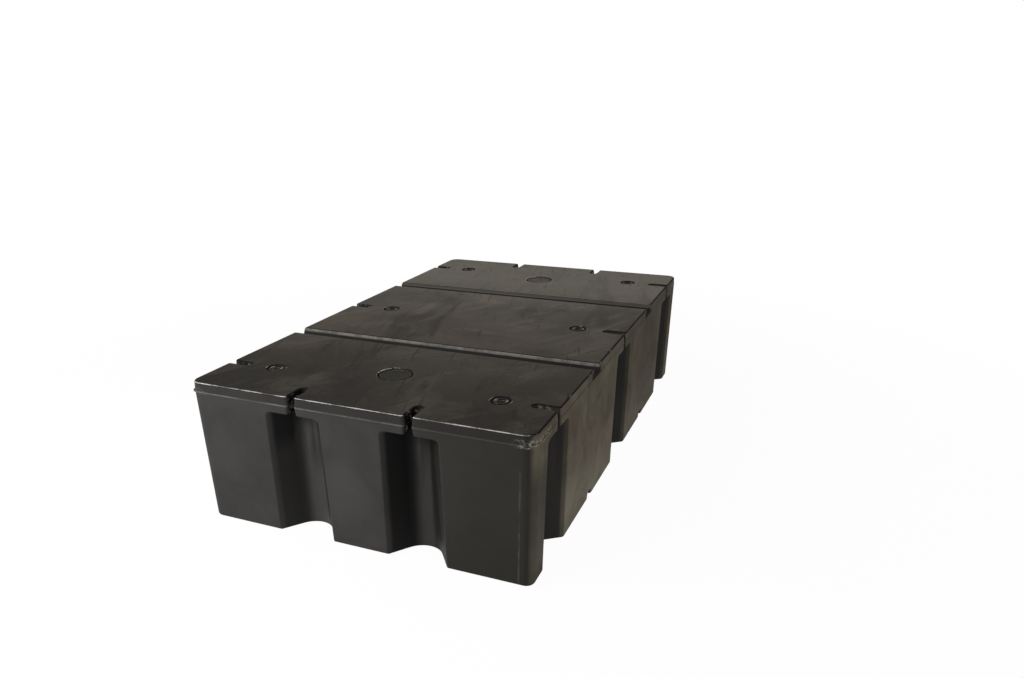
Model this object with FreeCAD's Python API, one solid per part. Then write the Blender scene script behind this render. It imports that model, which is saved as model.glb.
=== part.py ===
import FreeCAD, Part
import math
import os

V = FreeCAD.Vector
UP = V(0, 0, 1)
ORIGIN = V(0, 0, 0)

# Overall body of the drum, mm. Z runs from the base up to the deck face.
LENGTH = 1524.0
WIDTH = 914.4
HEIGHT = 381.0
CORNER_RADIUS = 31.0
BASE_EDGE_RADIUS = 8.0
DECK_EDGE_RADIUS = 4.0

# The mould parts around the body a little below the deck face.
PARTING_DROP = 25.0
WALL_DRAFT = 1.45
BAND_DRAFT = 3.0
FLASH_OUT = 0.9
FLASH_HIGH = 1.8
BURR_OUT = 4.0
BURR_WIDTH = 12.0
BURR_HIGH = 7.0

# Bolt slots, open to the edge, through the deck flange.
FLANGE_THICK = 48.0
SLOT_WIDTH = 18.0
SLOT_DEPTH = 62.0
SLOT_DRAFT = 6.0
SLOT_MOUTH_RADIUS = 7.0
END_SLOT_PITCH = 312.0
CORNER_TO_SIDE_SLOT = 162.0

# Wall recess below each bolt slot, open at the base.
RECESS_MOUTH = 151.0
RECESS_DEPTH = 71.0
RECESS_FLARE = 37.0
RECESS_ROOF_RADIUS = 12.0
RECESS_EDGE_RADIUS = 5.0

# Cross grooves in the deck face and matching channels in the base,
# midway between the side slots.
GROOVE_FLOOR = 32.0
GROOVE_DEPTH = 18.5
GROOVE_DRAFT = 18.0
GROOVE_LIP_RADIUS = 9.0
GROOVE_FOOT_RADIUS = 5.0
CHANNEL_FLOOR = 26.0
CHANNEL_DEPTH = 18.0
CHANNEL_DRAFT = 10.0
CHANNEL_LIP_RADIUS = 10.0
CHANNEL_FOOT_RADIUS = 5.0

# Large plugs that close the two fill holes.
FILL_TO_END = 228.6
FILL_SEAT_DIAMETER = 90.0
FILL_SEAT_DEPTH = 8.0
FILL_HOLE_DIAMETER = 76.0
FILL_HOLE_DEPTH = 22.0
FILL_HEAD_GAP = 4.5
FILL_HEAD_THICK = 7.0
FILL_RIM_WIDTH = 6.0
FILL_DISH_DEPTH = 1.2

# Small plugs that close the six vent holes, in line with the side slots.
VENT_TO_SIDE = 144.0
VENT_SEAT_DIAMETER = 50.0
VENT_SEAT_DEPTH = 7.0
VENT_HOLE_DIAMETER = 25.0
VENT_HOLE_DEPTH = 18.0
VENT_HEAD_DIAMETER = 38.0
VENT_HEAD_THICK = 6.0
VENT_DISH_DIAMETER = 24.0
VENT_DISH_DEPTH = 3.5

SEAT_LIP_RADIUS = 2.5
PLUG_EDGE_RADIUS = 1.5
PLUG_FIT = 0.3
REACH = 40.0

PARTING_Z = HEIGHT - PARTING_DROP
ROOF_Z = HEIGHT - FLANGE_THICK
HALF_LENGTH = LENGTH / 2 - FLASH_OUT
HALF_WIDTH = WIDTH / 2 - FLASH_OUT
SLOT_ROW = LENGTH / 2 - CORNER_TO_SIDE_SLOT
GROOVE_ROW = SLOT_ROW / 2


def slope(degrees):
    return math.tan(math.radians(degrees))


def wall_inset(z):
    if z > PARTING_Z:
        return (z - PARTING_Z) * slope(BAND_DRAFT)
    return (PARTING_Z - z) * slope(WALL_DRAFT)


def near(first, second):
    return abs(first - second) < 0.01


def spans_width(box):
    return box.XLength > 0.9 * WIDTH


def arc(first, middle, last):
    return Part.Arc(first, middle, last).toShape()


def bend(centre, radius, start, end, z):
    angles = (start, (start + end) / 2, end)
    points = []
    for angle in angles:
        turn = math.radians(angle)
        points.append(V(centre[0] + radius * math.cos(turn), centre[1] + radius * math.sin(turn), z))
    return arc(points[0], points[1], points[2])


def joined(shapes, z):
    """Closed outline: the arcs in order, with straight edges between their ends."""
    edges = []
    for index, piece in enumerate(shapes):
        following = shapes[(index + 1) % len(shapes)]
        start = piece.valueAt(piece.LastParameter)
        end = following.valueAt(following.FirstParameter)
        edges.append(piece)
        if start.distanceToPoint(end) > 0.001:
            edges.append(Part.LineSegment(start, end).toShape())
    return Part.Wire(edges)


def turned(edge, quarter, place):
    moved = edge.copy()
    moved.rotate(ORIGIN, UP, quarter)
    moved.translate(place)
    return moved


def slot_arcs(z, spread):
    """Arcs of one slot in plan, open towards -Y, with its mouth on the line Y = 0."""
    half = SLOT_WIDTH / 2 + spread
    mouth = SLOT_MOUTH_RADIUS
    left = bend((-half - mouth, mouth), mouth, -90, 0, z)
    inner = bend((0, SLOT_DEPTH - SLOT_WIDTH / 2), half, 180, 0, z)
    right = bend((half + mouth, mouth), mouth, 180, 270, z)
    return [left, inner, right]


def body_outline(z, spread):
    """Outline of the drum in plan at height z, with its ten slots."""
    inset = wall_inset(z)
    half_x = HALF_WIDTH - inset
    half_y = HALF_LENGTH - inset
    radius = CORNER_RADIUS - inset
    ends = (-END_SLOT_PITCH / 2, END_SLOT_PITCH / 2)
    sides = (-SLOT_ROW, 0.0, SLOT_ROW)
    pieces = []
    pieces.append(bend((-half_x + radius, -half_y + radius), radius, 180, 270, z))
    for x in ends:
        pieces += [turned(edge, 0, V(x, -half_y, 0)) for edge in slot_arcs(z, spread)]
    pieces.append(bend((half_x - radius, -half_y + radius), radius, 270, 360, z))
    for y in sides:
        pieces += [turned(edge, 90, V(half_x, y, 0)) for edge in slot_arcs(z, spread)]
    pieces.append(bend((half_x - radius, half_y - radius), radius, 0, 90, z))
    for x in reversed(ends):
        pieces += [turned(edge, 180, V(x, half_y, 0)) for edge in slot_arcs(z, spread)]
    pieces.append(bend((-half_x + radius, half_y - radius), radius, 90, 180, z))
    for y in reversed(sides):
        pieces += [turned(edge, -90, V(-half_x, y, 0)) for edge in slot_arcs(z, spread)]
    return joined(pieces, z)


def ruled_solid(lower, upper):
    return Part.makeLoft([lower, upper], True, True)


def body_blank():
    below = ROOF_Z - RECESS_ROOF_RADIUS
    flare = slope(SLOT_DRAFT)
    foot = body_outline(0.0, (PARTING_Z - below) * flare)
    under = body_outline(below, (PARTING_Z - below) * flare)
    middle = body_outline(PARTING_Z, 0.0)
    deck = body_outline(HEIGHT, PARTING_DROP * flare)
    blank = ruled_solid(foot, under)
    blank = blank.fuse(ruled_solid(under, middle))
    blank = blank.fuse(ruled_solid(middle, deck))
    return blank.removeSplitter()


def recess_outline(z, growth):
    """Recess in plan: flared sides and a round back, with its mouth on the line Y = 0."""
    flare = math.radians(RECESS_FLARE)
    half = RECESS_MOUTH / 2
    centre = (RECESS_DEPTH - half * math.cos(flare)) / (1 - math.sin(flare))
    radius = RECESS_DEPTH - centre + growth
    touch_x = radius * math.cos(flare)
    touch_y = centre + radius * math.sin(flare)
    run = (touch_y + REACH) / math.cos(flare)
    mouth_x = touch_x + run * math.sin(flare)
    back = arc(V(-touch_x, touch_y, z), V(0, centre + radius, z), V(touch_x, touch_y, z))
    right = Part.LineSegment(V(touch_x, touch_y, z), V(mouth_x, -REACH, z)).toShape()
    front = Part.LineSegment(V(mouth_x, -REACH, z), V(-mouth_x, -REACH, z)).toShape()
    left = Part.LineSegment(V(-mouth_x, -REACH, z), V(-touch_x, touch_y, z)).toShape()
    return Part.Wire([back, right, front, left])


def recess_cutter():
    """Block that clears one recess, with its roof rounded into its walls."""
    foot_z = -REACH
    foot = recess_outline(foot_z, (PARTING_Z - foot_z) * slope(WALL_DRAFT))
    roof = recess_outline(ROOF_Z, (PARTING_Z - ROOF_Z) * slope(WALL_DRAFT))
    cutter = ruled_solid(foot, roof)
    rim = []
    for edge in cutter.Edges:
        box = edge.BoundBox
        if near(box.ZMin, ROOF_Z) and not near(box.YMax, -REACH):
            rim.append(edge)
    return cutter.makeFillet(RECESS_ROOF_RADIUS, rim)


def wall_places():
    """Turn about Z and mouth centre of each slot and the recess below it."""
    places = []
    for x in (-END_SLOT_PITCH / 2, END_SLOT_PITCH / 2):
        places.append((0, V(x, -HALF_LENGTH, 0)))
        places.append((180, V(x, HALF_LENGTH, 0)))
    for y in (-SLOT_ROW, 0.0, SLOT_ROW):
        places.append((90, V(HALF_WIDTH, y, 0)))
        places.append((-90, V(-HALF_WIDTH, y, 0)))
    return places


def placed(shape, quarter, place):
    moved = shape.copy()
    moved.rotate(ORIGIN, UP, quarter)
    moved.translate(place)
    return moved


def trough(pitch_y, floor_z, drop, floor_width, draft, foot_radius):
    """Full-width trapezoid bar that clears a groove, with rounded feet. A negative drop opens upward."""
    depth = abs(drop) + REACH
    rise = -math.copysign(depth, drop)
    spread = depth * slope(draft)
    half = floor_width / 2
    across = WIDTH / 2 + REACH
    points = []
    points.append(V(-across, pitch_y - half, floor_z))
    points.append(V(-across, pitch_y + half, floor_z))
    points.append(V(-across, pitch_y + half + spread, floor_z + rise))
    points.append(V(-across, pitch_y - half - spread, floor_z + rise))
    bar = Part.Face(Part.makePolygon(points + points[:1])).extrude(V(2 * across, 0, 0))
    feet = []
    for edge in bar.Edges:
        box = edge.BoundBox
        if spans_width(box) and near(box.ZMin, floor_z) and near(box.ZMax, floor_z):
            feet.append(edge)
    return bar.makeFillet(foot_radius, feet)


def middle_point(edge):
    return edge.valueAt((edge.FirstParameter + edge.LastParameter) / 2)


def distance(point, shape):
    return Part.Vertex(point).distToShape(shape)[0]


def long_lips(shape, z):
    """Straight edges right across the drum at height z."""
    found = []
    for edge in shape.Edges:
        box = edge.BoundBox
        if spans_width(box) and near(box.YLength, 0) and near(box.ZMin, z) and near(box.ZMax, z):
            found.append(edge)
    return found


def base_rim(shape, cutters):
    """Edges around the base, but for those of the recesses."""
    recesses = Part.Compound(cutters)
    found = []
    for edge in shape.Edges:
        if edge.BoundBox.ZMax > CHANNEL_DEPTH + 0.01 or spans_width(edge.BoundBox):
            continue
        if distance(middle_point(edge), recesses) > 0.01 and outward(middle_point(edge)):
            found.append(edge)
    return found


def outward(point):
    """True on the outer walls of the drum."""
    inset = wall_inset(point.z)
    half_x = HALF_WIDTH - inset
    half_y = HALF_LENGTH - inset
    radius = CORNER_RADIUS - inset
    reach_x = abs(point.x) - (half_x - radius)
    reach_y = abs(point.y) - (half_y - radius)
    if reach_x > 0 and reach_y > 0:
        return abs(math.hypot(reach_x, reach_y) - radius) < 0.05
    return abs(reach_x - radius) < 0.05 or abs(reach_y - radius) < 0.05


def face_point(face):
    """A point inside a face."""
    first_u, last_u, first_v, last_v = face.ParameterRange
    for share_u in (0.5, 0.3, 0.7, 0.15, 0.85):
        for share_v in (0.5, 0.3, 0.7, 0.15, 0.85):
            u = first_u + (last_u - first_u) * share_u
            v = first_v + (last_v - first_v) * share_v
            point = face.valueAt(u, v)
            if face.isInside(point, 0.01, True):
                return point
    return face.CenterOfMass


def recess_rim(shape, cutter):
    """Edges where the walls and roof of one recess meet the rest of the drum."""
    found = []
    for edge in shape.Edges:
        point = middle_point(edge)
        if not cutter.BoundBox.isInside(point) or distance(point, cutter.Shells[0]) > 0.01:
            continue
        faces = shape.ancestorsOfType(edge, Part.Face)
        inner = [face for face in faces if distance(face_point(face), cutter.Shells[0]) < 0.01]
        if len(inner) == 1:
            found.append(edge)
    return found


def deck_rim(shape):
    """Edges around the deck face, with those of its slots and groove ends."""
    found = []
    low = HEIGHT - GROOVE_DEPTH - 0.01
    for edge in shape.Edges:
        box = edge.BoundBox
        if box.ZMin < low or spans_width(box):
            continue
        if near(box.ZMin, HEIGHT) or outward(middle_point(edge)):
            found.append(edge)
    return found


def disc(diameter, x, y, top, depth):
    return Part.makeCylinder(diameter / 2, depth, V(x, y, top - depth), UP)


def flash_line():
    """Thin ridge left by the mould all around the parting line."""
    outline = Part.Face(body_outline(PARTING_Z - FLASH_HIGH / 2, 0.0))
    return outline.makeOffset2D(FLASH_OUT).extrude(V(0, 0, FLASH_HIGH))


def corner_burrs():
    """Small blunt burrs where the mould halves meet at the four corners."""
    burrs = []
    for side_x in (-1, 1):
        for side_y in (-1, 1):
            middle_x = side_x * (HALF_WIDTH - CORNER_RADIUS)
            middle_y = side_y * (HALF_LENGTH - CORNER_RADIUS)
            middle = V(middle_x, middle_y, PARTING_Z)
            angle = math.atan2(side_y, side_x)
            out = V(math.cos(angle), math.sin(angle), 0)
            chord = BURR_WIDTH / 2
            radius = (chord * chord + BURR_OUT * BURR_OUT) / (2 * BURR_OUT)
            centre = middle + out * (CORNER_RADIUS + BURR_OUT - radius)
            burr = Part.makeCylinder(radius, BURR_HIGH, centre - UP * (BURR_HIGH / 2), UP)
            rims = [edge for edge in burr.Edges if near(edge.BoundBox.ZLength, 0)]
            burrs.append(burr.makeFillet(BURR_HIGH / 3, rims))
    return burrs


def cross_bars():
    bars = []
    for y in (-GROOVE_ROW, GROOVE_ROW):
        groove_z = HEIGHT - GROOVE_DEPTH
        bars.append(trough(y, groove_z, groove_z - HEIGHT, GROOVE_FLOOR, GROOVE_DRAFT, GROOVE_FOOT_RADIUS))
        bars.append(trough(y, CHANNEL_DEPTH, CHANNEL_DEPTH, CHANNEL_FLOOR, CHANNEL_DRAFT, CHANNEL_FOOT_RADIUS))
    return bars


def fill_places():
    away = LENGTH / 2 - FILL_TO_END
    return [("front", 0.0, -away), ("rear", 0.0, away)]


def vent_places():
    places = []
    away = WIDTH / 2 - VENT_TO_SIDE
    for row, y in (("front", -SLOT_ROW), ("middle", 0.0), ("rear", SLOT_ROW)):
        places.append((row + "_left", -away, y))
        places.append((row + "_right", away, y))
    return places


def plug_seats():
    """Counterbores in the deck face with the blind holes that take the plug spigots."""
    seats = []
    for name, x, y in fill_places():
        seat = disc(FILL_SEAT_DIAMETER, x, y, HEIGHT + REACH, REACH + FILL_SEAT_DEPTH)
        seats.append(seat.fuse(disc(FILL_HOLE_DIAMETER, x, y, HEIGHT, FILL_HOLE_DEPTH)))
    for name, x, y in vent_places():
        seat = disc(VENT_SEAT_DIAMETER, x, y, HEIGHT + REACH, REACH + VENT_SEAT_DEPTH)
        seats.append(seat.fuse(disc(VENT_HOLE_DIAMETER, x, y, HEIGHT, VENT_HOLE_DEPTH)))
    return seats


def seat_lips(shape):
    """Round edges of the plug seats in the deck face."""
    found = []
    for edge in shape.Edges:
        if not near(edge.BoundBox.ZMin, HEIGHT) or not isinstance(edge.Curve, Part.Circle):
            continue
        diameter = 2 * edge.Curve.Radius
        if near(diameter, FILL_SEAT_DIAMETER) or near(diameter, VENT_SEAT_DIAMETER):
            found.append(edge)
    return found


def drum_shell():
    cutter = recess_cutter()
    cutters = [placed(cutter, quarter, place) for quarter, place in wall_places()]
    shell = body_blank().Solids[0]
    shell = shell.cut(cutters).Solids[0]
    shell = shell.cut(cross_bars()).Solids[0]
    shell = shell.makeFillet(CHANNEL_LIP_RADIUS, long_lips(shell, 0.0)).Solids[0]
    shell = shell.makeFillet(GROOVE_LIP_RADIUS, long_lips(shell, HEIGHT)).Solids[0]
    shell = shell.makeFillet(BASE_EDGE_RADIUS, base_rim(shell, cutters)).Solids[0]
    for one in cutters:
        shell = shell.makeFillet(RECESS_EDGE_RADIUS, recess_rim(shell, one)).Solids[0]
    shell = shell.makeFillet(DECK_EDGE_RADIUS, deck_rim(shell)).Solids[0]
    shell = shell.cut(plug_seats()).Solids[0]
    shell = shell.makeFillet(SEAT_LIP_RADIUS, seat_lips(shell)).Solids[0]
    shell = shell.fuse([flash_line()] + corner_burrs()).Solids[0]
    return shell


def plug(head, thick, spigot, length, dish, dish_depth, x, y, seat_depth):
    """Dished round plug: its head rests on the seat, its spigot stands in the hole."""
    top = HEIGHT - seat_depth + thick
    body = disc(head, x, y, top, thick)
    rim = [edge for edge in body.Edges if near(edge.BoundBox.ZMin, top)]
    body = body.makeFillet(PLUG_EDGE_RADIUS, rim)
    bowl = disc(dish, x, y, top + REACH, REACH + dish_depth)
    foot = [edge for edge in bowl.Edges if near(edge.BoundBox.ZMax, top - dish_depth)]
    body = body.cut(bowl.makeFillet(dish_depth / 2, foot))
    neck = disc(spigot, x, y, top - thick + PLUG_EDGE_RADIUS, length + PLUG_EDGE_RADIUS)
    return body.fuse(neck).removeSplitter()


def fill_plug(x, y):
    head = FILL_SEAT_DIAMETER - 2 * FILL_HEAD_GAP
    spigot = FILL_HOLE_DIAMETER - 2 * PLUG_FIT
    length = FILL_HOLE_DEPTH - FILL_SEAT_DEPTH - PLUG_FIT
    dish = head - 2 * FILL_RIM_WIDTH
    return plug(head, FILL_HEAD_THICK, spigot, length, dish, FILL_DISH_DEPTH, x, y, FILL_SEAT_DEPTH)


def vent_plug(x, y):
    spigot = VENT_HOLE_DIAMETER - 2 * PLUG_FIT
    length = VENT_HOLE_DEPTH - VENT_SEAT_DEPTH - PLUG_FIT
    head = VENT_HEAD_DIAMETER
    dish = VENT_DISH_DIAMETER
    return plug(head, VENT_HEAD_THICK, spigot, length, dish, VENT_DISH_DEPTH, x, y, VENT_SEAT_DEPTH)


os.makedirs("parts", exist_ok=True)
drum_shell().exportStep("parts/drum_shell.step")
for name, x, y in fill_places():
    fill_plug(x, y).exportStep("parts/fill_plug_" + name + ".step")
for name, x, y in vent_places():
    vent_plug(x, y).exportStep("parts/vent_plug_" + name + ".step")
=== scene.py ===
import math

import bpy
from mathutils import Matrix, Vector


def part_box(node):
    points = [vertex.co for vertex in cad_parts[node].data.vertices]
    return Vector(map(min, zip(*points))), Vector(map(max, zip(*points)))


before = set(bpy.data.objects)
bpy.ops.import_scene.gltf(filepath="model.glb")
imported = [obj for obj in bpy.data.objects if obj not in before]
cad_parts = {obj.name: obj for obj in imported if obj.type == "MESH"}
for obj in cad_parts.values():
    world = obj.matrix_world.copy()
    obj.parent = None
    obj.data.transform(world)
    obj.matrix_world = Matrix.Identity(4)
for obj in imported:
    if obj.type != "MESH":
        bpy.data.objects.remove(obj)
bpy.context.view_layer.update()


def middle(name):
    return [(low + high) / 2 for low, high in zip(*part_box(name))]


def rgb(red, green, blue):
    return (red, green, blue, 1.0)


def grey(level):
    return rgb(level, level, level)


# Sizes of the drum in metres. Those that the frame can't give are the CAD model's own.
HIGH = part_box("drum_shell")[1]
FLASH_REACH = 0.0009
HEIGHT = HIGH[2]
HALF_WIDTH = HIGH[0] - FLASH_REACH
HALF_LENGTH = HIGH[1] - FLASH_REACH
PARTING = HEIGHT - 0.025
FLANGE_FOOT = HEIGHT - 0.048
WALL_SLOPE = math.tan(math.radians(1.45))
GROOVE_ROW = 0.300
GROOVE_HALF = 0.038
GROOVE_FOOT = HEIGHT - 0.009
SLOT_COLUMN = 0.156
FILL_ROW = middle("fill_plug_rear")[1]
VENT_COLUMN, VENT_ROW = middle("vent_plug_rear_right")[:2]
FILL_LIP = 0.0464
VENT_LIP = 0.0262
VENT_GLINT_OFFSET = 0.0135
SCUFFED_CORNER = (HALF_WIDTH, HALF_LENGTH - 0.045, PARTING + 0.002)
PALE_LINE_FROM_SIDE = 0.033

# The photograph's camera: place, turn in degrees, focal length in mm and shift.
CAMERA_AT = (0.9553, -2.1510, 1.0665)
CAMERA_TURN = (68.181, 0.663, 22.631)
CAMERA_LENS = 27.775
CAMERA_SHIFT = (0.01603, 0.05469)

# Light: the soft studio, the one strip lamp, and how white the floor is near the drum and away from it.
SOFT_WORLD = 0.50
KEY_WATTS = 51.0
KEY_AT, KEY_TOWARDS, KEY_SIZE = (-1.1, -2.0, 1.5), (-0.1, -0.6, 0.3), (1.8, 0.35)
FLOOR_HALF = 30.0
FLOOR_DROP = 0.0005
FLOOR_GREY = grey(0.86)
FLOOR_NEAR, FLOOR_FAR = (0.9, 0.965), (2.8, 1.0)

# Colours of the walls, with painted shade towards the right, and of the dust on the right wall, made lighter
# with painted light.
WALL = rgb(0.036, 0.0335, 0.0330), rgb(0.046, 0.0425, 0.0415)
# Painted shade: the other walls darken towards the right.
WALL_RIGHT_PAINTED_SHADE = rgb(0.020, 0.0180, 0.0150)
# The right wall's dust is made lighter as painted light; its foot is palest and its rear darker.
DUST_AND_PAINTED_LIGHT = rgb(0.112, 0.099, 0.070), rgb(0.150, 0.133, 0.097)
DUST_REDDISH = rgb(0.108, 0.080, 0.060)
DUST_GREENISH = rgb(0.185, 0.172, 0.126)
RIGHT_WALL_FOOT = rgb(0.290, 0.258, 0.198)
RIGHT_WALL_REAR = rgb(0.080, 0.069, 0.052)
CORNER_POST = rgb(0.044, 0.040, 0.032)
CLOUDS = rgb(0.018, 0.016, 0.014)

# Colours of the deck face, from its front to its rear, where it grows lighter as a painted sheen, and of the
# marks on it.
DECK_NEAR = rgb(0.0155, 0.0132, 0.0108), rgb(0.027, 0.0230, 0.0187)
# Painted sheen: the middle and rear of the deck are lighter.
DECK_MID_PAINTED_SHEEN = rgb(0.052, 0.0435, 0.0345), rgb(0.074, 0.0630, 0.0500)
DECK_REAR_PAINTED_SHEEN = rgb(0.096, 0.0835, 0.067), rgb(0.132, 0.1150, 0.093)
DECK_NEAR_LEFT = rgb(0.009, 0.0076, 0.0064)
DECK_MID_RIGHT = rgb(0.034, 0.0290, 0.0232)
SMEAR_PALE = rgb(0.140, 0.122, 0.098)
SMEAR_DARK = rgb(0.012, 0.0100, 0.0080)
HAIR = rgb(0.006, 0.005, 0.004), rgb(0.03, 0.026, 0.021)

# Colours inside the recesses and the slots, with painted light and shade among them.
# Painted light: the recess walls are paler than the outer walls, palest low down.
HOLLOW_PAINTED_LIGHT = rgb(0.060, 0.0562, 0.0525), rgb(0.026, 0.0243, 0.0228)
HOLLOW_LOW_PAINTED_LIGHT = rgb(0.062, 0.0582, 0.0545)
# Painted shade in the recesses on the right and on the left flanks of the end recesses, with a painted
# shadow high up on those flanks.
HOLLOW_RIGHT_PAINTED_SHADE = rgb(0.018, 0.0167, 0.0150)
FLANK_PAINTED_SHADE = rgb(0.015, 0.0142, 0.0135), rgb(0.0035, 0.0033, 0.0031)
FLANK_PAINTED_SHADOW = grey(0.003)
# Painted shade in the slots, lighter in the right wall as painted light; the pale flecks are painted glints.
SLOT_SHADE_AND_LIGHT = grey(0.003), rgb(0.030, 0.0265, 0.0215)
SLOT_GLINT = rgb(0.15, 0.14, 0.12)
SHADE = rgb(0.009, 0.0085, 0.0080)

# Colours of the grooves, the flange, the edges and the scuffed corners, with painted highlights and shade
# among them.
# Painted highlight on the groove lips, dimmer at the rear; painted shade on the groove foot.
LIP_PAINTED_HIGHLIGHT = rgb(0.110, 0.100, 0.086), rgb(0.220, 0.202, 0.178)
LIP_REAR_PAINTED_HIGHLIGHT = rgb(0.075, 0.066, 0.053)
FOOT_PAINTED_SHADE = rgb(0.008, 0.007, 0.006)
BARE = grey(0.006)
# Painted shade on the flange band above the parting line.
BAND_PAINTED_SHADE = rgb(0.012, 0.011, 0.010)
# Pale wear with a painted highlight along the edges at the two ends.
EDGE_WEAR_AND_HIGHLIGHT = rgb(0.42, 0.41, 0.38)
CHIP = rgb(0.30, 0.28, 0.24)
GLINT = rgb(0.50, 0.47, 0.38)
# Scuffs on the corners, which at the left corner stand for a painted glint.
SCUFF_AND_GLINT = rgb(0.42, 0.39, 0.32)
# Painted highlight on the flash line.
FLASH_HIGHLIGHT = rgb(0.20, 0.19, 0.18)
PALE_LINE = rgb(0.080, 0.074, 0.066)

# Colours of the plugs, with a painted sheen, a painted highlight on the rim and painted glints.
PLUG_BARE = rgb(0.006, 0.006, 0.005)
# Dust on the plug heads, lighter towards the rear as a painted sheen.
PLUG_DUST_AND_SHEEN = rgb(0.020, 0.0172, 0.0142), rgb(0.088, 0.076, 0.060)
PLUG_WELL = rgb(0.010, 0.0085, 0.0065)
# Painted highlight on the plug rims, and painted glints on the vents.
PLUG_RIM_HIGHLIGHT = rgb(0.36, 0.33, 0.25)
PLUG_GLINT = rgb(0.150, 0.135, 0.110)

# The dull reflection of both plastics, the depth of their bumps in metres, and the span of a soft noise.
SPECULAR = 0.09
GRAIN_DEPTH, PEEL_DEPTH, WAVE_DEPTH, PLUG_GRAIN_DEPTH = 0.00035, 0.0006, 0.004, 0.0004
SOFT_SPAN = (0.35, 0.65)

# The Mix node's sockets for the share and the two things mixed, and the one for the result.
COLOUR_SOCKETS, COLOUR_RESULT = (0, 6, 7), 2
NUMBER_SOCKETS, NUMBER_RESULT = (0, 2, 3), 0


class Tree:
    """Short calls that add nodes to one tree and join them.

    Where a ramp takes a place, its limits are metres. Where it takes a facing, they are parts of the normal,
    and for a noise they are its own values, which lie mostly between 0.3 and 0.7.
    """

    def __init__(self, owner):
        owner.use_nodes = True
        self.tree = owner.node_tree
        self.tree.nodes.clear()

    def add(self, kind, **settings):
        made = self.tree.nodes.new(kind)
        for key, value in settings.items():
            setattr(made, key, value)
        return made

    def put(self, socket, value):
        if isinstance(value, bpy.types.NodeSocket):
            self.tree.links.new(value, socket)
        else:
            socket.default_value = value

    def math(self, operation, *values, clamp=False):
        made = self.add("ShaderNodeMath", operation=operation, use_clamp=clamp)
        for socket, value in zip(made.inputs, values):
            self.put(socket, value)
        return made.outputs[0]

    def times(self, *values):
        product = values[0]
        for value in values[1:]:
            product = self.math("MULTIPLY", product, value)
        return product

    def plus(self, *values):
        total = values[0]
        for value in values[1:]:
            total = self.math("ADD", total, value)
        return total

    def less(self, a, b):
        return self.math("SUBTRACT", a, b)

    def size(self, value):
        """The value without its sign."""
        return self.math("ABSOLUTE", value)

    def off(self, a, b):
        """How far a is from b."""
        return self.size(self.less(a, b))

    def most(self, a, b):
        return self.math("MAXIMUM", a, b)

    def reach(self, a, b):
        """The length of a way that goes a along one axis and b along the other."""
        return self.math("SQRT", self.plus(self.times(a, a), self.times(b, b)))

    def without(self, value):
        """What a mask leaves."""
        return self.math("SUBTRACT", 1.0, value, clamp=True)

    def ramp(self, value, low, high, to_low=0.0, to_high=1.0):
        """A smooth step from to_low to to_high as the value goes from low to high, up or down."""
        made = self.add("ShaderNodeMapRange", interpolation_type="SMOOTHSTEP")
        names = "Value", "From Min", "From Max", "To Min", "To Max"
        for name, number in zip(names, (value, low, high, to_low, to_high)):
            self.put(made.inputs[name], number)
        return made.outputs["Result"]

    def mix(self, share, a, b):
        """A colour that goes from a to b with the share."""
        made = self.add("ShaderNodeMix", data_type="RGBA")
        for place, value in zip(COLOUR_SOCKETS, (share, a, b)):
            self.put(made.inputs[place], value)
        return made.outputs[COLOUR_RESULT]

    def blend(self, share, a, b):
        """A number that goes from a to b with the share."""
        made = self.add("ShaderNodeMix", data_type="FLOAT")
        for place, value in zip(NUMBER_SOCKETS, (share, a, b)):
            self.put(made.inputs[place], value)
        return made.outputs[NUMBER_RESULT]

    def place(self, scale=(1, 1, 1), turn=(0, 0, 0)):
        """The place on the object, turned in degrees and then made finer by the scale."""
        mapping = self.add("ShaderNodeMapping", vector_type="TEXTURE")
        mapping.inputs["Scale"].default_value = [1.0 / a for a in scale]
        mapping.inputs["Rotation"].default_value = [math.radians(a) for a in turn]
        self.put(mapping.inputs["Vector"], self.add("ShaderNodeTexCoord").outputs["Object"])
        return mapping.outputs[0]

    def parts(self, vector):
        made = self.add("ShaderNodeSeparateXYZ")
        self.put(made.inputs[0], vector)
        return made.outputs

    def noise(self, where, scale, detail=3.0, rough=0.5, distortion=0.0):
        made = self.add("ShaderNodeTexNoise")
        self.put(made.inputs["Vector"], where)
        made.inputs["Scale"].default_value = scale
        made.inputs["Detail"].default_value = detail
        made.inputs["Roughness"].default_value = rough
        made.inputs["Distortion"].default_value = distortion
        return made.outputs[0]

    def bump(self, height, distance, strength=0.5, normal=None):
        made = self.add("ShaderNodeBump")
        made.inputs["Strength"].default_value = strength
        made.inputs["Distance"].default_value = distance
        self.put(made.inputs["Height"], height)
        if normal is not None:
            self.put(made.inputs["Normal"], normal)
        return made.outputs[0]

    def plain(self, kind, colour, strength=None):
        """A shader of one colour, with a strength where it gives light."""
        made = self.add(kind)
        made.inputs["Color"].default_value = colour
        if strength is not None:
            made.inputs["Strength"].default_value = strength
        return made.outputs[0]

    def mix_shaders(self, share, a, b):
        made = self.add("ShaderNodeMixShader")
        for socket, value in zip(made.inputs, (share, a, b)):
            self.put(socket, value)
        return made.outputs[0]

    def end(self, kind, shader):
        self.put(self.add(kind).inputs["Surface"], shader)

    def white_to_view(self):
        """1 for rays from the view, in mirrors and through glass."""
        rays = self.add("ShaderNodeLightPath")
        seen = self.most(rays.outputs["Is Camera Ray"], rays.outputs["Is Glossy Ray"])
        return self.most(seen, rays.outputs["Is Transmission Ray"])


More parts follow.
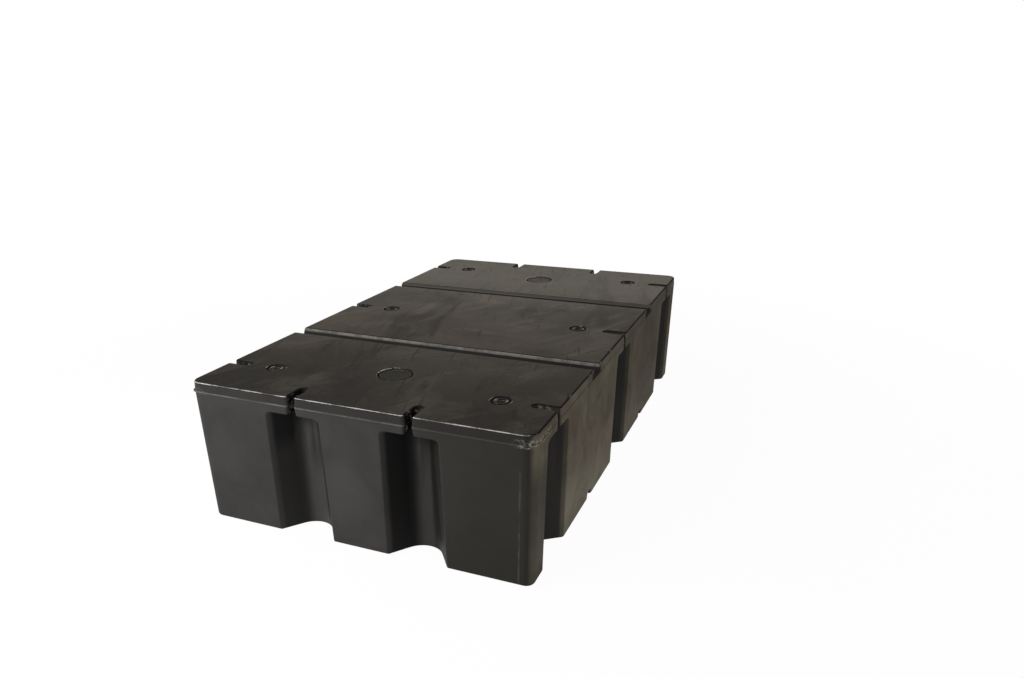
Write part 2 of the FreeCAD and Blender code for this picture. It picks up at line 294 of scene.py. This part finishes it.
class Plastic(Tree):
    """What the drum and its plugs share: place, facing, grain and a dull plastic."""

    def __init__(self, name, grain_scale):
        self.material = bpy.data.materials.new(name)
        super().__init__(self.material)
        self.where = self.place()
        self.x, self.y, self.z = self.parts(self.where)
        normal = self.add("ShaderNodeNewGeometry").outputs["Normal"]
        self.right, self.rear, self.up = self.parts(normal)
        self.grain = self.noise(self.where, grain_scale, 3.0, 0.6)

    def from_plugs(self):
        """How far a place is along y from the nearest fill plug, and along x and y from a vent plug."""
        fill_y = self.less(self.y, self.times(self.math("SIGN", self.y), FILL_ROW))
        vent_x = self.less(self.size(self.x), VENT_COLUMN)
        row = self.math("ROUND", self.math("DIVIDE", self.y, VENT_ROW))
        return fill_y, vent_x, self.less(self.y, self.times(row, VENT_ROW))

    def dress(self, colour, roughness, normal):
        made = self.add("ShaderNodeBsdfPrincipled")
        self.put(made.inputs["Base Color"], colour)
        self.put(made.inputs["Roughness"], roughness)
        made.inputs["Specular IOR Level"].default_value = SPECULAR
        self.put(made.inputs["Normal"], normal)
        self.end("ShaderNodeOutputMaterial", made.outputs[0])


class Skin(Plastic):
    """Black polyethylene under a thin film of dust, bare and shiny along its edges, with painted light,
    shade and highlights in its colour.
    """

    def __init__(self, name):
        super().__init__(name, 140.0)
        self.blotch = self.noise(self.where, 2.3, 3.0, 0.55, 0.4)
        self.cloud = self.noise(self.where, 8.0, 5.0, 0.6, 0.6)
        self.fleck = self.noise(self.where, 34.0, 5.0, 0.7)
        self.runs = self.noise(self.place((1.0, 1.0, 0.08)), 24.0, 3.0, 0.6, 0.3)
        self.find_faces()
        self.find_edges()

        colour = self.mix(self.on_side, self.wall(), self.dust_and_painted_light_wall())
        colour = self.mix(self.on_deck, colour, self.deck())
        colour = self.mix(self.ramp(self.cloud, 0.35, 0.75, 0.0, 0.35), colour, CLOUDS)
        for step in (self.smears, self.recesses, self.slots, self.back_walls, self.grooves, self.band,
                     self.edges, self.glints, self.corner_scuffs, self.flash_and_pale_line):
            colour = step(colour)
        rough = self.bump(self.grain, GRAIN_DEPTH)
        peel = self.bump(self.noise(self.where, 38.0, 3.0, 0.5), PEEL_DEPTH, normal=rough)
        wave = self.bump(self.noise(self.where, 5.0, 2.0, 0.5), WAVE_DEPTH, 0.6, peel)
        self.dress(colour, self.roughness(), wave)

    def find_faces(self):
        """The deck face, the right wall, the grooves, and what lies behind the drafted outer walls."""
        self.on_deck = self.ramp(self.up, 0.55, 0.9)
        draft = self.times(self.less(PARTING, self.z), WALL_SLOPE)
        self.from_side = self.less(self.less(HALF_WIDTH, self.size(self.x)), draft)
        self.from_end = self.less(self.less(HALF_LENGTH, self.size(self.y)), draft)
        behind = self.math("MINIMUM", self.from_side, self.from_end)
        from_row = self.off(self.size(self.y), GROOVE_ROW)
        near_row = self.ramp(from_row, GROOVE_HALF + 0.002, GROOVE_HALF - 0.002)
        self.at_groove = self.times(near_row, self.ramp(self.z, HEIGHT - 0.030, HEIGHT - 0.024))
        off_base = self.most(self.ramp(self.up, -0.75, -0.45), self.ramp(self.z, 0.06, 0.12))
        hollow = self.times(self.ramp(behind, 0.005, 0.016), self.ramp(behind, 0.15, 0.13))
        steep = self.ramp(self.up, 0.75, 0.45)
        self.inside = self.times(hollow, steep, self.without(self.at_groove), off_base)
        outermost = self.ramp(self.from_side, 0.016, 0.008)
        self.on_side = self.times(self.ramp(self.right, 0.3, 0.9), outermost)
        self.off_sides = self.ramp(self.from_side, 0.06, 0.09)

    def find_edges(self):
        """The rounded edges of the deck face and slots, those along the two ends, and the groove lips."""
        near_deck = self.ramp(self.z, HEIGHT - 0.0085, HEIGHT - 0.0065)
        leaning = self.times(self.ramp(self.up, 0.10, 0.25), self.ramp(self.up, 0.996, 0.980))
        self.edge = self.times(near_deck, leaning, self.without(self.at_groove))
        facing_end = self.ramp(self.size(self.rear), 0.15, 0.35)
        self.end_edge = self.times(self.edge, facing_end, self.ramp(self.from_end, 0.010, 0.006))
        above_foot = self.ramp(self.z, GROOVE_FOOT - 0.0005, GROOVE_FOOT + 0.0020)
        facing_front = self.times(self.ramp(self.up, 0.90, 0.80), self.ramp(self.rear, -0.2, -0.4))
        self.lip = self.times(self.at_groove, above_foot, facing_front)

    def wall(self):
        """The other walls, charcoal, and darker towards the right as painted shade."""
        wall = self.mix(self.ramp(self.blotch, *SOFT_SPAN), *WALL)
        # Painted shade: darker towards the right.
        return self.mix(self.ramp(self.x, -0.1, 0.34, 0.0, 0.85), wall, WALL_RIGHT_PAINTED_SHADE)

    def dust_and_painted_light_wall(self):
        """The right wall: streaks and patches of dust, made lighter as painted light, palest at its foot and
        darker to the rear, and a darker corner post.
        """
        streak = self.noise(self.place((1.0, 7.0, 0.8)), 2.0, 4.0, 0.6, 0.5)
        patch = self.noise(self.place((1.0, 2.6, 1.1), (35, 0, 0)), 2.6, 4.0, 0.6, 0.8)
        # Dust streaks on the right wall, made lighter as painted light.
        dusty = self.mix(self.ramp(streak, 0.30, 0.72), *DUST_AND_PAINTED_LIGHT)
        dusty = self.mix(self.ramp(patch, 0.46, 0.66, 0.0, 0.85), dusty, DUST_REDDISH)
        dusty = self.mix(self.ramp(patch, 0.44, 0.28, 0.0, 0.8), dusty, DUST_GREENISH)
        dusty = self.mix(self.ramp(self.z, 0.22, 0.03, 0.0, 0.9), dusty, RIGHT_WALL_FOOT)
        dusty = self.mix(self.ramp(self.y, -0.5, 0.5, 0.0, 0.65), dusty, RIGHT_WALL_REAR)
        post = self.times(self.ramp(self.y, -0.640, -0.670), self.ramp(self.z, 0.335, 0.24))
        return self.mix(self.times(post, 0.75), dusty, CORNER_POST)

    def deck(self):
        """The deck face, lighter towards the rear as a painted sheen."""
        near = self.mix(self.ramp(self.blotch, *SOFT_SPAN), *DECK_NEAR)
        mid = self.mix(self.ramp(self.blotch, *SOFT_SPAN), *DECK_MID_PAINTED_SHEEN)
        rear = self.mix(self.ramp(self.cloud, *SOFT_SPAN), *DECK_REAR_PAINTED_SHEEN)
        near = self.mix(self.ramp(self.x, 0.0, -0.40, 0.0, 0.7), near, DECK_NEAR_LEFT)
        mid = self.mix(self.ramp(self.x, 0.10, 0.40, 0.0, 0.4), mid, DECK_MID_RIGHT)
        # Painted sheen: lighter from the front of the deck to its rear.
        deck = self.mix(self.ramp(self.y, -0.66, -0.14), near, mid)
        return self.mix(self.ramp(self.y, 0.1, 0.5), deck, rear)

    def smears(self, colour):
        """Hazy patches, long pale and dark smears and hair scratches on the deck face."""
        smear_pale = self.noise(self.place((1.4, 5.0, 1.0), (0, 0, 60)), 1.7, 5.0, 0.65, 0.8)
        smear_dark = self.noise(self.place((1.1, 4.0, 1.0), (0, 0, 100)), 1.9, 5.0, 0.65, 0.8)
        haze = self.noise(self.place((1.0, 1.6, 1.0), (0, 0, 10)), 3.4, 5.0, 0.68, 1.2)
        pale = self.ramp(smear_pale, 0.52, 0.70, 0.0, 0.55)
        pale = self.plus(pale, self.ramp(haze, 0.50, 0.70, 0.0, 0.45))
        self.pale = self.times(pale, self.on_deck, self.ramp(self.y, -0.4, 0.5, 0.30, 1.0))
        dark = self.times(self.ramp(smear_dark, 0.52, 0.68, 0.0, 0.60), self.on_deck)
        dark = self.times(dark, self.ramp(self.y, 0.0, 0.5, 1.0, 0.45))
        hair_across = self.noise(self.place((4.5, 38.0, 1.0), (0, 0, 105)), 2.0, 2.0, 0.5, 0.1)
        hair_along = self.noise(self.place((3.0, 60.0, 1.0), (0, 0, 58)), 2.0, 2.0, 0.5, 0.1)
        hairs = self.most(self.ramp(hair_across, 0.58, 0.72), self.ramp(hair_along, 0.60, 0.74))
        hairs = self.times(hairs, self.on_deck, self.ramp(haze, 0.42, 0.62), 0.6)
        colour = self.mix(self.pale, colour, SMEAR_PALE)
        colour = self.mix(dark, colour, SMEAR_DARK)
        return self.mix(hairs, colour, self.mix(self.ramp(self.y, -0.3, 0.1), *HAIR))

    def recesses(self, colour):
        """Recesses: paler than the walls as painted light, palest low down, with dark runs down their walls,
        painted shade towards the right, and painted shade on the left flanks at the two ends with a painted
        shadow high on them.
        """
        # Painted light: paler than the walls, palest low down.
        hollow = self.mix(self.ramp(self.runs, 0.42, 0.60), *HOLLOW_PAINTED_LIGHT)
        hollow = self.mix(self.ramp(self.z, 0.24, 0.12, 0.0, 0.7), hollow, HOLLOW_LOW_PAINTED_LIGHT)
        # Painted shade towards the right.
        hollow = self.mix(self.ramp(self.x, -0.2, 0.25, 0.0, 0.55), hollow, HOLLOW_RIGHT_PAINTED_SHADE)
        # Painted shade on the left flanks, with a painted shadow high on them.
        flank_shade = self.mix(self.ramp(self.x, -0.05, 0.05), *FLANK_PAINTED_SHADE)
        high_painted_shadow = self.times(self.ramp(self.z, 0.20, 0.27), self.ramp(self.runs, 0.40, 0.56))
        flank_shade = self.mix(high_painted_shadow, flank_shade, FLANK_PAINTED_SHADOW)
        hollow = self.mix(self.times(self.ramp(self.right, 0.25, 0.7), self.off_sides), hollow, flank_shade)
        return self.mix(self.times(self.inside, 0.94), colour, hollow)

    def slots(self, colour):
        """Slots in the flange: painted shade, lighter in the right wall as painted light, with pale flecks
        as painted glints.
        """
        slots = self.times(self.inside, self.ramp(self.z, FLANGE_FOOT - 0.001, FLANGE_FOOT + 0.006))
        flecks = self.ramp(self.noise(self.where, 64.0, 4.0, 0.7), 0.54, 0.61)
        # Painted shade in the slots, lighter in the right wall as painted light; the flecks are painted
        # glints.
        depth = self.mix(self.ramp(self.x, 0.30, 0.36), *SLOT_SHADE_AND_LIGHT)
        return self.mix(slots, colour, self.mix(flecks, depth, SLOT_GLINT))

    def back_walls(self, colour):
        """The back walls of the recesses at the two ends, darker towards their right edge."""
        across = self.less(self.x, self.times(self.math("SIGN", self.x), SLOT_COLUMN))
        in_right = self.times(self.ramp(across, 0.008, 0.022), self.ramp(self.x, -0.02, 0.02))
        in_left = self.times(self.ramp(across, 0.022, 0.032), self.ramp(self.z, 0.24, 0.14))
        in_left = self.times(in_left, self.ramp(self.x, 0.02, -0.02))
        shade = self.times(self.inside, self.off_sides, self.ramp(self.runs, 0.35, 0.55, 0.6, 1.0))
        shade = self.times(shade, self.plus(in_right, in_left), 0.9)
        return self.mix(shade, colour, SHADE)

    def grooves(self, colour):
        """Painted shade on the foot, a painted highlight on the rounded lip, and a dark line where the lip
        meets the deck face.
        """
        below = self.ramp(self.z, GROOVE_FOOT + 0.0015, GROOVE_FOOT - 0.0015)
        bend = self.times(self.ramp(self.up, 0.86, 0.91), self.ramp(self.up, 0.998, 0.990))
        # Painted highlight on the groove lip, dimmer at the rear.
        wear_and_highlight = self.mix(self.ramp(self.fleck, 0.4, 0.6), *LIP_PAINTED_HIGHLIGHT)
        wear_and_highlight = self.mix(self.ramp(self.y, -0.1, 0.1), wear_and_highlight, LIP_REAR_PAINTED_HIGHLIGHT)
        colour = self.mix(self.times(self.lip, 0.85), colour, wear_and_highlight)
        # Painted shade on the groove foot.
        colour = self.mix(self.times(self.at_groove, below, 0.95), colour, FOOT_PAINTED_SHADE)
        return self.mix(self.times(self.at_groove, bend, 0.85), colour, BARE)

    def band(self, colour):
        """The flange above the parting line, a little darker than the wall below it: painted shade."""
        above = self.ramp(self.z, PARTING + 0.001, PARTING + 0.004)
        band = self.times(above, self.without(self.ramp(self.right, 0.3, 0.7)), self.without(self.on_deck))
        # Painted shade on the flange band.
        return self.mix(self.times(band, 0.45), colour, BAND_PAINTED_SHADE)

    def edges(self, colour):
        """Bare black edges round the deck face and its slots, pale along the two ends from wear and a
        painted highlight.
        """
        colour = self.mix(self.times(self.edge, 0.92), colour, BARE)
        long_wear_and_highlight = self.noise(self.place((0.5, 0.5, 1.0)), 16.0, 5.0, 0.7)
        # Pale wear with a painted highlight along the edges at the two ends.
        wear_and_highlight = self.times(self.end_edge, self.ramp(self.up, 0.35, 0.55), self.ramp(self.up, 0.92, 0.80))
        wear_and_highlight = self.times(wear_and_highlight, self.ramp(long_wear_and_highlight, 0.42, 0.58, 0.10, 1.0), 0.9)
        colour = self.mix(wear_and_highlight, colour, EDGE_WEAR_AND_HIGHLIGHT)
        chip = self.times(self.edge, self.ramp(self.fleck, 0.58, 0.68), 0.6)
        return self.mix(chip, colour, CHIP)

    def glints(self, colour):
        """Glints on the far left lip of the fill seats and on the left and right lips of the vent seats."""
        fill_y, vent_x, vent_y = self.from_plugs()
        fill = self.ramp(self.off(self.reach(self.x, fill_y), FILL_LIP), 0.0022, 0.0008)
        far_left = self.less(self.times(fill_y, 0.35), self.x)
        fill = self.times(fill, self.ramp(far_left, 0.030, 0.044, 0.12, 1.0))
        vent = self.ramp(self.off(self.reach(vent_x, vent_y), VENT_LIP), 0.0018, 0.0006)
        outwards = self.less(self.size(vent_x), self.size(vent_y))
        vent = self.times(vent, self.ramp(outwards, 0.006, 0.018), 0.65)
        broken = self.ramp(self.noise(self.where, 75.0, 3.0, 0.6), 0.42, 0.56)
        return self.mix(self.times(self.most(fill, vent), self.on_deck, broken, 0.85), colour, GLINT)

    def corner_scuffs(self, colour):
        """Whitish scuffs where the corners have been dragged, most of all on the right; at the left corner
        they stand for a painted glint.
        """
        folded = self.add("ShaderNodeVectorMath", operation="ABSOLUTE")
        self.put(folded.inputs[0], self.where)
        corner = self.add("ShaderNodeVectorMath", operation="DISTANCE")
        self.put(corner.inputs[0], folded.outputs["Vector"])
        corner.inputs[1].default_value = SCUFFED_CORNER
        close = self.ramp(corner.outputs["Value"], 0.078, 0.035)
        scuffs = self.ramp(self.noise(self.place((1.0, 1.0, 2.2)), 110.0, 4.0, 0.7), 0.48, 0.62)
        scuffs_and_glint = self.times(close, self.without(self.on_deck), scuffs)
        # Scuffs, which at the left corner stand for a painted glint.
        scuffs_and_glint = self.times(scuffs_and_glint, self.ramp(self.x, -0.1, 0.2, 0.35, 1.0))
        scuffs_and_glint = self.times(scuffs_and_glint, self.ramp(self.z, PARTING - 0.009, PARTING - 0.002))
        scuffs_and_glint = self.times(scuffs_and_glint, self.ramp(self.z, PARTING + 0.018, PARTING + 0.004), 0.8)
        return self.mix(scuffs_and_glint, colour, SCUFF_AND_GLINT)

    def flash_and_pale_line(self, colour):
        """The mould's flash line with a painted highlight, brightest on the left and broken along its
        length, and a faint pale line by the front right edge.
        """
        # Painted highlight on the flash line, broken along its length.
        flash_breaks = self.noise(self.place((1.0, 1.0, 0.2)), 7.0, 5.0, 0.7)
        flash = self.ramp(self.off(self.z, PARTING), 0.0026, 0.0010)
        flash = self.times(flash, self.ramp(flash_breaks, 0.40, 0.60, 0.35, 1.0))
        flash = self.times(flash, self.without(self.ramp(self.right, 0.5, 0.9)))
        flash = self.times(flash, self.ramp(self.x, 0.25, 0.05, 0.25, 1.0), 0.5)
        colour = self.mix(flash, colour, FLASH_HIGHLIGHT)
        pale_line = self.ramp(self.off(self.from_side, PALE_LINE_FROM_SIDE), 0.0030, 0.0012)
        pale_line = self.times(pale_line, self.ramp(self.rear, -0.9, -0.98), self.ramp(self.x, 0.1, 0.2))
        pale_line = self.times(pale_line, self.ramp(self.z, 0.31, 0.27))
        pale_line = self.times(pale_line, self.ramp(self.fleck, 0.35, 0.60, 0.05, 0.45))
        return self.mix(pale_line, colour, PALE_LINE)

    def roughness(self):
        """Dull film, glossier in the recesses, along the edges at the two ends and on the groove lips."""
        film = self.ramp(self.cloud, 0.3, 0.7, 0.60, 0.72)
        film = self.blend(self.on_deck, film, self.ramp(self.y, -0.5, 0.5, 0.84, 0.62))
        film = self.plus(film, self.times(self.on_side, 0.18), self.ramp(self.grain, 0.3, 0.7, -0.04, 0.04))
        film = self.plus(film, self.times(self.pale, 0.08))
        film = self.blend(self.times(self.inside, 0.8), film, self.ramp(self.runs, 0.42, 0.60, 0.60, 0.44))
        film = self.blend(self.edge, film, 0.90)
        film = self.blend(self.end_edge, film, self.ramp(self.fleck, 0.3, 0.7, 0.14, 0.30))
        return self.blend(self.lip, film, 0.34)


class Plug(Plastic):
    """Darker moulded plastic of the plugs: dusty on top and lighter towards the rear as a painted sheen, a
    painted highlight on the rim, and two pale spots on a vent as painted glints.
    """

    def __init__(self, name):
        super().__init__(name, 150.0)
        cloud = self.noise(self.where, 22.0, 4.0, 0.6, 0.4)
        flat = self.ramp(self.up, 0.90, 0.98)
        fill_y, vent_x, vent_y = self.from_plugs()
        is_vent = self.ramp(self.size(self.x), 0.1, 0.2)

        # Dust on the plug heads, lighter towards the rear as a painted sheen.
        dust = self.mix(self.ramp(self.y, -0.5, 0.6), *PLUG_DUST_AND_SHEEN)
        dust = self.mix(self.times(is_vent, 0.85), dust, PLUG_WELL)
        colour = self.mix(self.times(flat, self.ramp(cloud, 0.3, 0.7, 0.6, 1.0)), PLUG_BARE, dust)

        rim = self.times(self.ramp(self.up, 0.35, 0.6), self.ramp(self.up, 0.97, 0.9))
        # Painted highlight on the rim.
        wear_and_highlight = self.times(rim, self.ramp(self.noise(self.where, 60.0, 4.0, 0.7), 0.44, 0.58))
        far_left = self.ramp(self.less(fill_y, self.x), 0.0, 0.05, 0.12, 0.6)
        colour = self.mix(self.times(wear_and_highlight, self.blend(is_vent, far_left, 0.2)), colour, PLUG_RIM_HIGHLIGHT)

        # Two painted glints on each vent plug.
        vent_glint = self.ramp(self.off(self.size(vent_x), VENT_GLINT_OFFSET), 0.0050, 0.0020)
        vent_glint = self.times(vent_glint, self.ramp(self.off(vent_y, 0.003), 0.009, 0.004))
        vent_glint = self.times(vent_glint, is_vent, self.ramp(cloud, 0.3, 0.5, 0.5, 0.9))
        colour = self.mix(vent_glint, colour, PLUG_GLINT)
        roughness = self.blend(flat, 0.26, self.ramp(self.grain, 0.3, 0.7, 0.74, 0.82))
        self.dress(colour, roughness, self.bump(self.grain, PLUG_GRAIN_DEPTH))


def link(thing, name, at=(0, 0, 0), turn=(0, 0, 0)):
    made = bpy.data.objects.new(name, thing)
    made.location = at
    made.rotation_euler = turn
    bpy.context.scene.collection.objects.link(made)
    return made


skin = Skin("drum_polyethylene").material
plugs = Plug("plug_polyethylene").material
for name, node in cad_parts.items():
    node.data.materials.clear()
    node.data.materials.append(skin if name == "drum_shell" else plugs)

data = bpy.data.cameras.new("camera")
data.sensor_width = 36.0
data.lens = CAMERA_LENS
data.shift_x, data.shift_y = CAMERA_SHIFT
data.clip_start, data.clip_end = 0.05, 100.0
scene = bpy.context.scene
scene.camera = link(data, "camera", CAMERA_AT, [math.radians(a) for a in CAMERA_TURN])
scene.view_settings.view_transform = "Standard"

world = bpy.data.worlds.new("studio")
scene.world = world
t = Tree(world)
soft = t.plain("ShaderNodeBackground", grey(1.0), SOFT_WORLD)
white = t.plain("ShaderNodeBackground", grey(1.0), 1.0)
t.end("ShaderNodeOutputWorld", t.mix_shaders(t.white_to_view(), soft, white))

mesh = bpy.data.meshes.new("floor")
corners = [(x * FLOOR_HALF, y * FLOOR_HALF, 0.0) for x, y in ((-1, -1), (1, -1), (1, 1), (-1, 1))]
mesh.from_pydata(corners, [], [(0, 1, 2, 3)])
floor = link(mesh, "floor", (0, 0, -FLOOR_DROP))
material = bpy.data.materials.new("floor")
t = Tree(material)
away = t.add("ShaderNodeVectorMath", operation="LENGTH")
t.put(away.inputs[0], t.place())
(near, near_share), (far, far_share) = FLOOR_NEAR, FLOOR_FAR
paleness = t.ramp(away.outputs["Value"], near, far, near_share, far_share)
matt = t.plain("ShaderNodeBsdfDiffuse", FLOOR_GREY)
glow = t.plain("ShaderNodeEmission", grey(1.0), 1.0)
t.end("ShaderNodeOutputMaterial", t.mix_shaders(t.times(t.white_to_view(), paleness), matt, glow))
mesh.materials.append(material)

data = bpy.data.lights.new("key", "AREA")
data.shape = "RECTANGLE"
data.size, data.size_y = KEY_SIZE
data.energy = KEY_WATTS
aim = Vector(KEY_TOWARDS) - Vector(KEY_AT)
link(data, "key", KEY_AT, aim.to_track_quat("-Z", "Y").to_euler())
